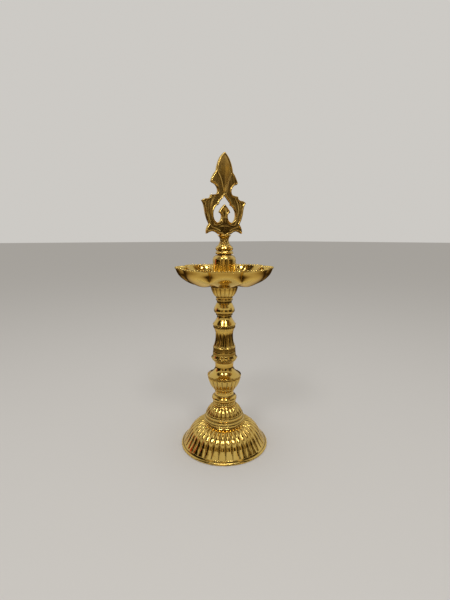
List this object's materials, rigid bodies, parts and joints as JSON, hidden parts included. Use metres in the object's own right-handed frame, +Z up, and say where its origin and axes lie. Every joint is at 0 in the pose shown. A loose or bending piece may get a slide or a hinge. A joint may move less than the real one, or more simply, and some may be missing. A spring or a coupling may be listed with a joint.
{
  "type": "standing oil lamp",
  "caption": "Tall brass oil lamp with a bell base, turned and fluted stem, lobed oil pan and openwork leaf finial; stem, pan hub and finial unscrew.",
  "frame": {"origin": "centre of the foot, on the surface the lamp stands on", "axes": "+Z up the lamp axis; +X across the finial plate; +Y out of the plate's back face"},
  "size_m": [0.1088, 0.1088, 0.33],
  "materials": {
    "polished_brass": "hand-polished cast brass, dark in the grooves",
    "pan_brass": "polished brass, oil-dulled inside",
    "satin_brass": "lathe-turned brass, satin",
    "aged_brass": "cast brass, aged brown in the recesses, bright on the raised rims",
    "black_seal": "matt black"
  },
  "bodies": {
    "base": {"base_bell": "polished_brass"},
    "dome": {"base_collar": "polished_brass", "base_dome": "polished_brass"},
    "stem": {"lower_knob": "polished_brass", "lotus_vase": "polished_brass", "fluted_column": "polished_brass", "bell_knob_lower": "polished_brass", "bell_knob_upper": "polished_brass", "lotus_cup": "polished_brass"},
    "pan": {"pan": "pan_brass"},
    "hub": {"hub": "satin_brass"},
    "seal": {"finial_washer": "black_seal"},
    "finial": {"finial_knob": "polished_brass", "finial_plate": "aged_brass"}
  },
  "joints": [
    {"name": "dome_rise", "type": "slide", "parent": "base", "child": "dome", "axis": [0, 0, 1], "range_m": [0, 0.01]},
    {"name": "stem_turn", "type": "hinge", "parent": "dome", "child": "stem", "pos_m": [0, 0, 0.048], "axis": [0, 0, 1], "range_deg": [0, 1800]},
    {"name": "pan_rise", "type": "slide", "parent": "stem", "child": "pan", "axis": [0, 0, 1], "range_m": [0, 0.01]},
    {"name": "hub_turn", "type": "hinge", "parent": "pan", "child": "hub", "pos_m": [0, 0, 0.192], "axis": [0, 0, 1], "range_deg": [0, 1800]},
    {"name": "seal_rise", "type": "slide", "parent": "hub", "child": "seal", "axis": [0, 0, 1], "range_m": [0, 0.01]},
    {"name": "finial_turn", "type": "hinge", "parent": "seal", "child": "finial", "pos_m": [0, 0, 0.2232], "axis": [0, 0, 1], "range_deg": [0, 1800]}
  ],
  "couplings": [
    {"joint": "dome_rise", "follows": "stem_turn", "m_per_rad": 0.00031831},
    {"joint": "pan_rise", "follows": "hub_turn", "m_per_rad": 0.00031831},
    {"joint": "seal_rise", "follows": "finial_turn", "m_per_rad": 0.00031831}
  ]
}
